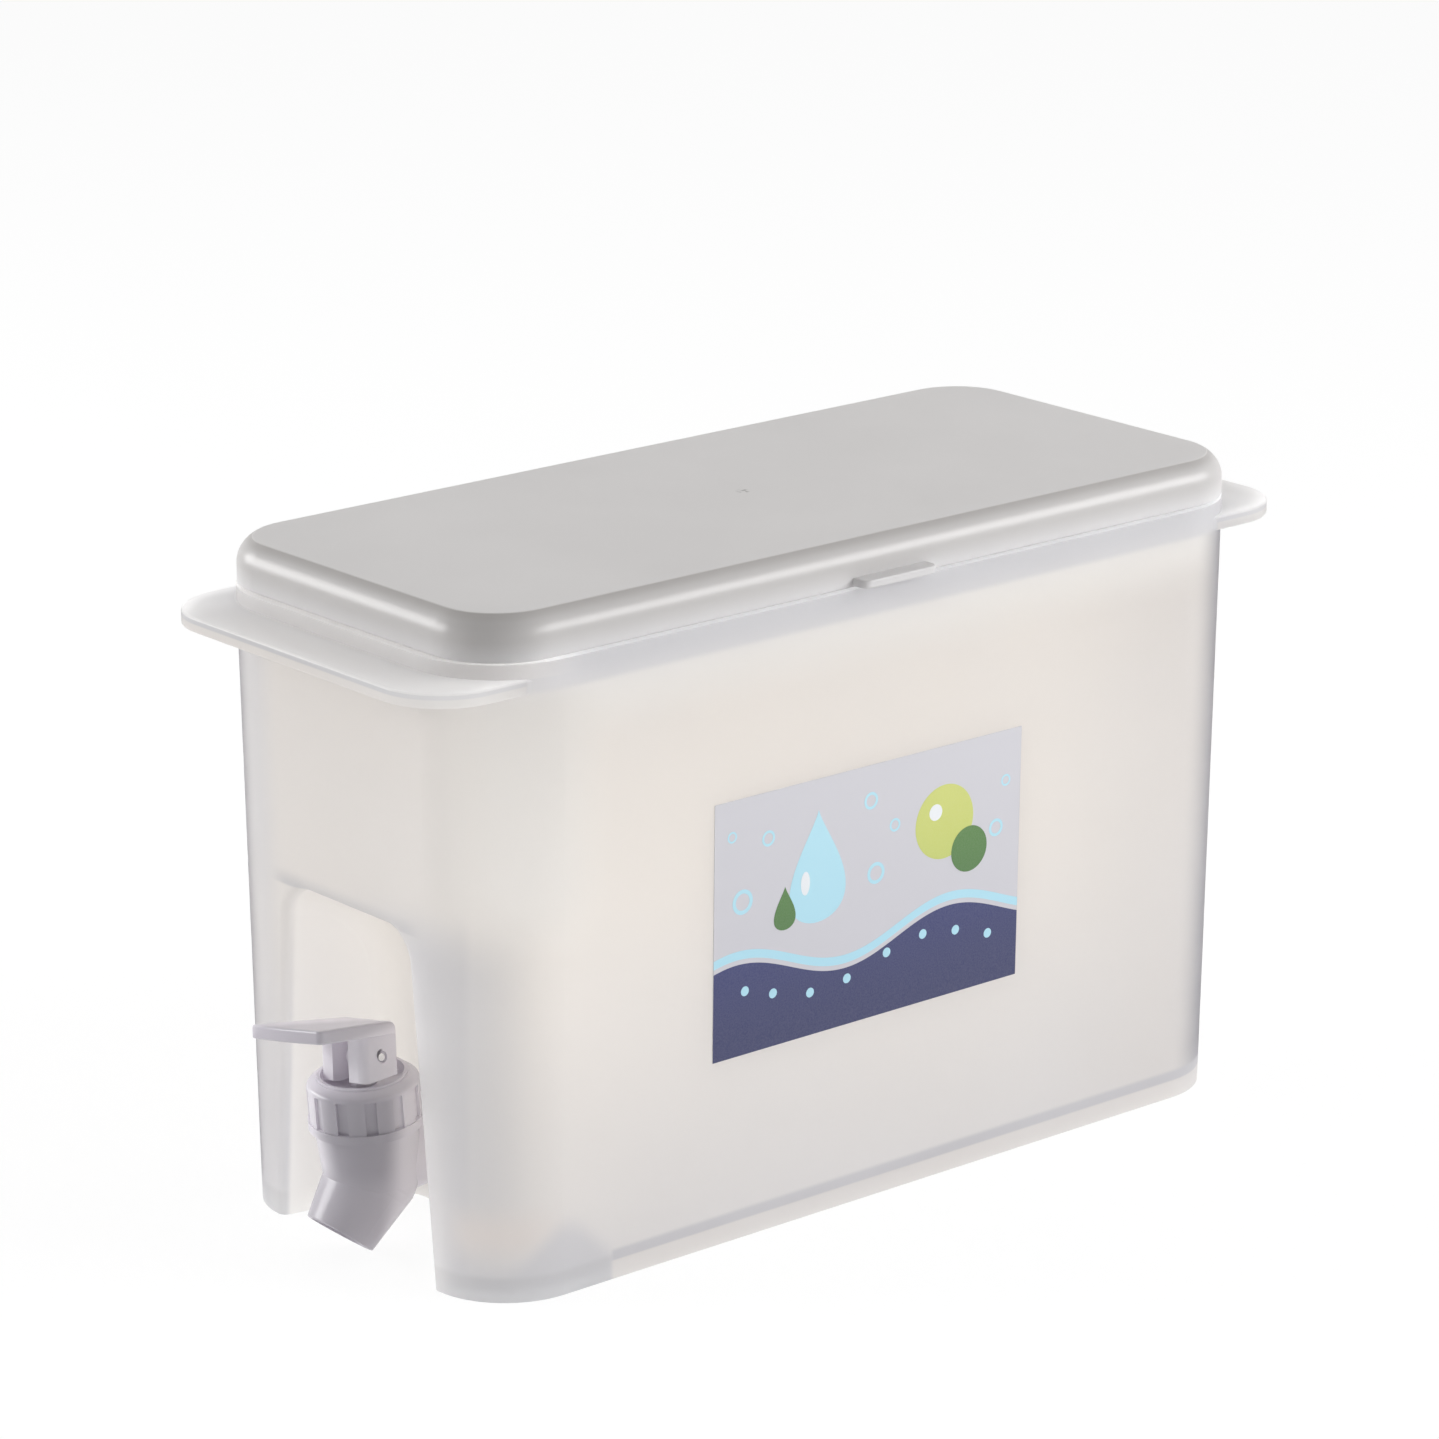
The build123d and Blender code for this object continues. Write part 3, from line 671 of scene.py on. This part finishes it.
class Film:
    """The outer face of the sticker's film: u runs back from its front edge, v runs up it."""

    def __init__(self):
        low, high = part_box("label")
        self.length = high[1] - low[1]
        self.height = (high[2] - low[2] - FILM_THICK * math.sin(TANK_DRAFT)) / math.cos(TANK_DRAFT)
        self.along = Vector((0.0, 1.0, 0.0))
        self.up = Vector((math.sin(TANK_DRAFT), 0.0, math.cos(TANK_DRAFT)))
        self.out = Vector((math.cos(TANK_DRAFT), 0.0, -math.sin(TANK_DRAFT)))
        self.corner = Vector((high[0] - self.height * self.up.x, low[1], low[2]))

    def spot(self, shares):
        """The place at these shares of the film's length and height."""
        across, upward = shares
        return across * self.length, upward * self.height

    def point(self, u, v, rise):
        return self.corner + self.along * u + self.up * v + self.out * rise

    def ink_shape(self, build, outline, layer, hole=None):
        """Adds a thin closed solid with this outline, and a hole of as many points if given.

        Each strip is a pair of rings of points that a band of faces joins."""
        rings = []
        for loop in (outline, hole) if hole else (outline,):
            for rise in (0.0, layer * INK_THICK):
                rings.append([build.verts.new(self.point(u, v, rise)) for u, v in loop])
        if hole:
            strips = [(0, 1), (2, 3), (0, 2), (1, 3)]
        else:
            build.faces.new(rings[0])
            build.faces.new(rings[1])
            strips = [(0, 1)]
        count = len(outline)
        for first, second in strips:
            for i in range(count):
                j = (i + 1) % count
                build.faces.new((rings[first][i], rings[first][j], rings[second][j], rings[second][i]))


def disc(u, v, radius, stretch=1.0):
    """The outline of a circle, or of an upright ellipse."""
    turns = [2 * math.pi * i / ROUND_STEPS for i in range(ROUND_STEPS)]
    return [(u + radius * math.cos(turn), v + radius * stretch * math.sin(turn)) for turn in turns]


def drop(u, v, radius, height):
    """The outline of a falling drop with its tip up."""
    outline = []
    for i in range(ROUND_STEPS):
        turn = 2 * math.pi * i / ROUND_STEPS
        reach = DROP_FULLNESS * radius * math.sin(turn) * math.sin(turn / 2) ** DROP_TAPER
        outline.append((u + reach, v + height / 2 * math.cos(turn)))
    return outline


def wave_height(u):
    """The height of the wave over the sticker's foot, at this distance from its front edge."""
    return WAVE_LEVEL + WAVE_RISE * math.sin(2 * math.pi * u / WAVE_LENGTH + WAVE_START)


def wave_steps(film):
    """Even steps along the film, clear of its two edges."""
    return [BLEED + (film.length - 2 * BLEED) * i / WAVE_STEPS for i in range(WAVE_STEPS + 1)]


def wave_field(film):
    """The outline of the field under the wave."""
    steps = wave_steps(film)
    return [(u, wave_height(u)) for u in steps] + [(u, BLEED) for u in reversed(steps)]


def wave_crest(film):
    """The outline of the pale band over the wave."""
    steps = wave_steps(film)
    top = [(u, wave_height(u) + CREST_HIGH) for u in steps]
    return top + [(u, wave_height(u) + CREST_LOW) for u in reversed(steps)]


def dot(film, share):
    """The outline of one dot under the wave, at this share of the film's length."""
    u = share * film.length
    depth = DOT_DEPTH + DOT_SWAY * math.sin(DOT_SWAY_RATE * share)
    return disc(u, wave_height(u) - depth, DOT_RADIUS)


def sticker_print():
    """A generic print: a navy wave with pale crests, water drops, bubbles and two plain discs."""
    film = Film()

    build = bmesh.new()
    film.ink_shape(build, wave_field(film), layer=1)
    make_piece("print_wave", build, ink("ink_navy", (36, 42, 92), (46, 56, 128)))

    build = bmesh.new()
    film.ink_shape(build, wave_crest(film), layer=1)
    for share in DOT_SHARES:
        film.ink_shape(build, dot(film, share), layer=2)
    for shares, radius in zip(BUBBLE_SHARES, BUBBLE_RADII):
        u, v = film.spot(shares)
        film.ink_shape(build, disc(u, v, radius), layer=1, hole=disc(u, v, BUBBLE_HOLE_SHARE * radius))
    big_drop = drop(*film.spot(BIG_DROP_SHARES), BIG_DROP_RADIUS, BIG_DROP_HEIGHT)
    film.ink_shape(build, big_drop, layer=1)
    make_piece("print_water", build, ink("ink_pale_blue", (172, 220, 238), (182, 228, 243)))

    build = bmesh.new()
    film.ink_shape(build, disc(*film.spot(LIME_DISC_SHARES), LIME_DISC_RADIUS), layer=1)
    make_piece("print_lime_disc", build, ink("ink_lime", (170, 188, 84), (208, 214, 118)))

    build = bmesh.new()
    film.ink_shape(build, disc(*film.spot(GREEN_DISC_SHARES), GREEN_DISC_RADIUS), layer=2)
    small_drop = drop(*film.spot(SMALL_DROP_SHARES), SMALL_DROP_RADIUS, SMALL_DROP_HEIGHT)
    film.ink_shape(build, small_drop, layer=2)
    make_piece("print_green_disc", build, ink("ink_green", (52, 98, 50), (88, 134, 62)))

    build = bmesh.new()
    drop_shine = disc(*film.spot(DROP_SHINE_SHARES), DROP_SHINE_RADIUS, DROP_SHINE_STRETCH)
    film.ink_shape(build, drop_shine, layer=2)
    film.ink_shape(build, disc(*film.spot(DISC_SHINE_SHARES), DISC_SHINE_RADIUS), layer=2)
    make_piece("print_shine", build, ink("ink_white", (226, 232, 238), (240, 243, 246)))


def spring_coil(metal):
    """The return spring as a round wire, in place of the frame's spring."""
    across = Vector((1.0, 0.0, 0.0))
    back = Vector((0.0, math.cos(TAP_TILT), math.sin(TAP_TILT)))
    axis = Vector((0.0, -math.sin(TAP_TILT), math.cos(TAP_TILT)))
    build = bmesh.new()
    rings = []
    for i in range(int(COIL_TURNS * COIL_STEPS) + 1):
        turn = 2 * math.pi * i / COIL_STEPS
        outward = across * math.cos(turn) + back * math.sin(turn)
        forward = (back * math.cos(turn) - across * math.sin(turn)) * COIL_RADIUS
        forward += axis * COIL_PITCH / (2 * math.pi)
        upward = forward.normalized().cross(outward)
        middle = TAP_PLACE + axis * (COIL_FOOT + COIL_PITCH * i / COIL_STEPS) + outward * COIL_RADIUS
        ring = []
        for k in range(WIRE_SIDES):
            angle = 2 * math.pi * k / WIRE_SIDES
            reach = outward * math.cos(angle) + upward * math.sin(angle)
            ring.append(build.verts.new(middle + reach * WIRE_RADIUS))
        rings.append(ring)
    for first, second in zip(rings, rings[1:]):
        for k in range(WIRE_SIDES):
            j = (k + 1) % WIRE_SIDES
            build.faces.new((first[k], first[j], second[j], second[k])).smooth = True
    build.faces.new(rings[0])
    build.faces.new(rings[-1])
    coil = make_piece("spring_coil", build, metal)
    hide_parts("return_spring")
    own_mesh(coil)


def camera():
    """The camera at the photograph's place, with its lens."""
    azimuth, elevation = CAMERA_AZIMUTH, CAMERA_ELEVATION
    back = Vector((
        math.sin(azimuth) * math.cos(elevation),
        -math.cos(azimuth) * math.cos(elevation),
        math.sin(elevation),
    ))
    level = Vector((math.cos(azimuth), math.sin(azimuth), 0.0))
    upright = back.cross(level)
    right = level * math.cos(CAMERA_ROLL) + upright * math.sin(CAMERA_ROLL)
    up = upright * math.cos(CAMERA_ROLL) - level * math.sin(CAMERA_ROLL)
    lens = bpy.data.cameras.new("camera")
    lens.sensor_width = SENSOR
    lens.sensor_fit = "HORIZONTAL"
    lens.lens = FOCAL_PIXELS / PHOTO_SIDE * SENSOR
    lens.clip_end = CAMERA_REACH
    holder = bpy.data.objects.new("camera", lens)
    turn = Matrix((right, up, back)).transposed().to_4x4()
    holder.matrix_world = Matrix.Translation(CAMERA_AIM + back * CAMERA_DISTANCE) @ turn
    bpy.context.scene.collection.objects.link(holder)
    bpy.context.scene.camera = holder


def soft_box(name, towards, power):
    """A wide, low area lamp that stands in a direction from the object and faces it."""
    light = bpy.data.lights.new(name, "AREA")
    light.shape = "RECTANGLE"
    light.size = LAMP_WIDTH
    light.size_y = LAMP_HEIGHT
    light.energy = power
    holder = bpy.data.objects.new(name, light)
    away = Vector(towards).normalized()
    place = Matrix.Translation(LAMP_AIM + away * LAMP_DISTANCE)
    holder.matrix_world = place @ away.to_track_quat("Z", "Y").to_matrix().to_4x4()
    bpy.context.scene.collection.objects.link(holder)


def white_for_camera(tree, shown, lit, output):
    """Shows one shader to the camera, in gloss and through plastic, and the other to all other rays."""
    path = add_node(tree, "ShaderNodeLightPath")
    share = path.outputs["Is Camera Ray"]
    for ray in ("Is Glossy Ray", "Is Transmission Ray"):
        either = add_node(tree, "ShaderNodeMath", operation="MAXIMUM")
        tree.links.new(share, either.inputs[0])
        tree.links.new(path.outputs[ray], either.inputs[1])
        share = either.outputs[0]
    both = add_node(tree, "ShaderNodeMixShader")
    for source, socket in zip((share, lit.outputs[0], shown.outputs[0]), both.inputs):
        tree.links.new(source, socket)
    tree.links.new(both.outputs[0], output.inputs[0])


def world_light(tree, value, blend, low_strength, high_strength):
    """A white background whose strength changes smoothly between the two ends of a blend."""
    strength = add_node(tree, "ShaderNodeMapRange", interpolation_type="SMOOTHSTEP")
    tree.links.new(value, strength.inputs["Value"])
    strength.inputs["From Min"].default_value, strength.inputs["From Max"].default_value = blend
    strength.inputs["To Min"].default_value = low_strength
    strength.inputs["To Max"].default_value = high_strength
    light = add_node(tree, "ShaderNodeBackground")
    light.inputs["Color"].default_value = WHITE
    tree.links.new(strength.outputs[0], light.inputs["Strength"])
    return light


def white_world():
    """A white world for the camera. As a light it is dim on the photographer's side, and in gloss
    it is dim overhead, like the ceiling of a studio."""
    world = bpy.data.worlds.new("studio")
    world.use_nodes = True
    bpy.context.scene.world = world
    tree = world.node_tree
    tree.nodes.remove(tree.nodes["Background"])
    way = add_node(tree, "ShaderNodeTexCoord").outputs["Generated"]
    facing = add_node(tree, "ShaderNodeVectorMath", operation="DOT_PRODUCT")
    facing.inputs[1].default_value = DIM_SIDE
    tree.links.new(way, facing.inputs[0])
    split = add_node(tree, "ShaderNodeSeparateXYZ")
    tree.links.new(way, split.inputs[0])
    dim_strength = WORLD_STRENGTH * DIM_SIDE_LEFT
    lit = world_light(tree, facing.outputs["Value"], DIM_SIDE_BLEND, WORLD_STRENGTH, dim_strength)
    shown = world_light(tree, split.outputs[2], CEILING_BLEND, 1.0, CEILING_LEFT)
    white_for_camera(tree, shown, lit, tree.nodes["World Output"])


def white_floor():
    """A pale floor that looks white to the camera where no shadow falls on it."""
    mesh = bpy.data.meshes.new("floor")
    plane = bmesh.new()
    bmesh.ops.create_grid(plane, x_segments=1, y_segments=1, size=FLOOR_SIZE)
    plane.to_mesh(mesh)
    plane.free()
    floor = bpy.data.objects.new("floor", mesh)
    bpy.context.scene.collection.objects.link(floor)
    cover = bpy.data.materials.new("floor")
    cover.use_nodes = True
    tree = cover.node_tree
    tree.nodes.remove(tree.nodes["Principled BSDF"])
    lit = add_node(tree, "ShaderNodeBsdfDiffuse")
    lit.inputs["Color"].default_value = FLOOR_COLOUR
    glow = add_node(tree, "ShaderNodeEmission")
    glow.inputs["Color"].default_value = WHITE
    glow.inputs["Strength"].default_value = FLOOR_GLOW
    shown = add_node(tree, "ShaderNodeMixShader")
    shown.inputs[0].default_value = FLOOR_GLOW_SHARE
    tree.links.new(lit.outputs[0], shown.inputs[1])
    tree.links.new(glow.outputs[0], shown.inputs[2])
    white_for_camera(tree, shown, lit, tree.nodes["Material Output"])
    mesh.materials.append(cover)


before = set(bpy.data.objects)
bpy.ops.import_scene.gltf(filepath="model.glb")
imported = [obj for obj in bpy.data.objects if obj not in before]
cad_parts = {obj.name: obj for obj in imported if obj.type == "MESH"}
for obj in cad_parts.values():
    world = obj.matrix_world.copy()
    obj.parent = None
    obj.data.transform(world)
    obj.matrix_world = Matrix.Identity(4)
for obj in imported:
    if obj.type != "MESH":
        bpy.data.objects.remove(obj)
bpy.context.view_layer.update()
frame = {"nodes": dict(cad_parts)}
camera()
metal = steel()
dress(frame, metal)
sticker_print()
spring_coil(metal)
white_world()
white_floor()
soft_box("key", KEY_TOWARDS, KEY_POWER)
soft_box("fill", FILL_TOWARDS, FILL_POWER)
bpy.context.scene.view_settings.view_transform = "Standard"
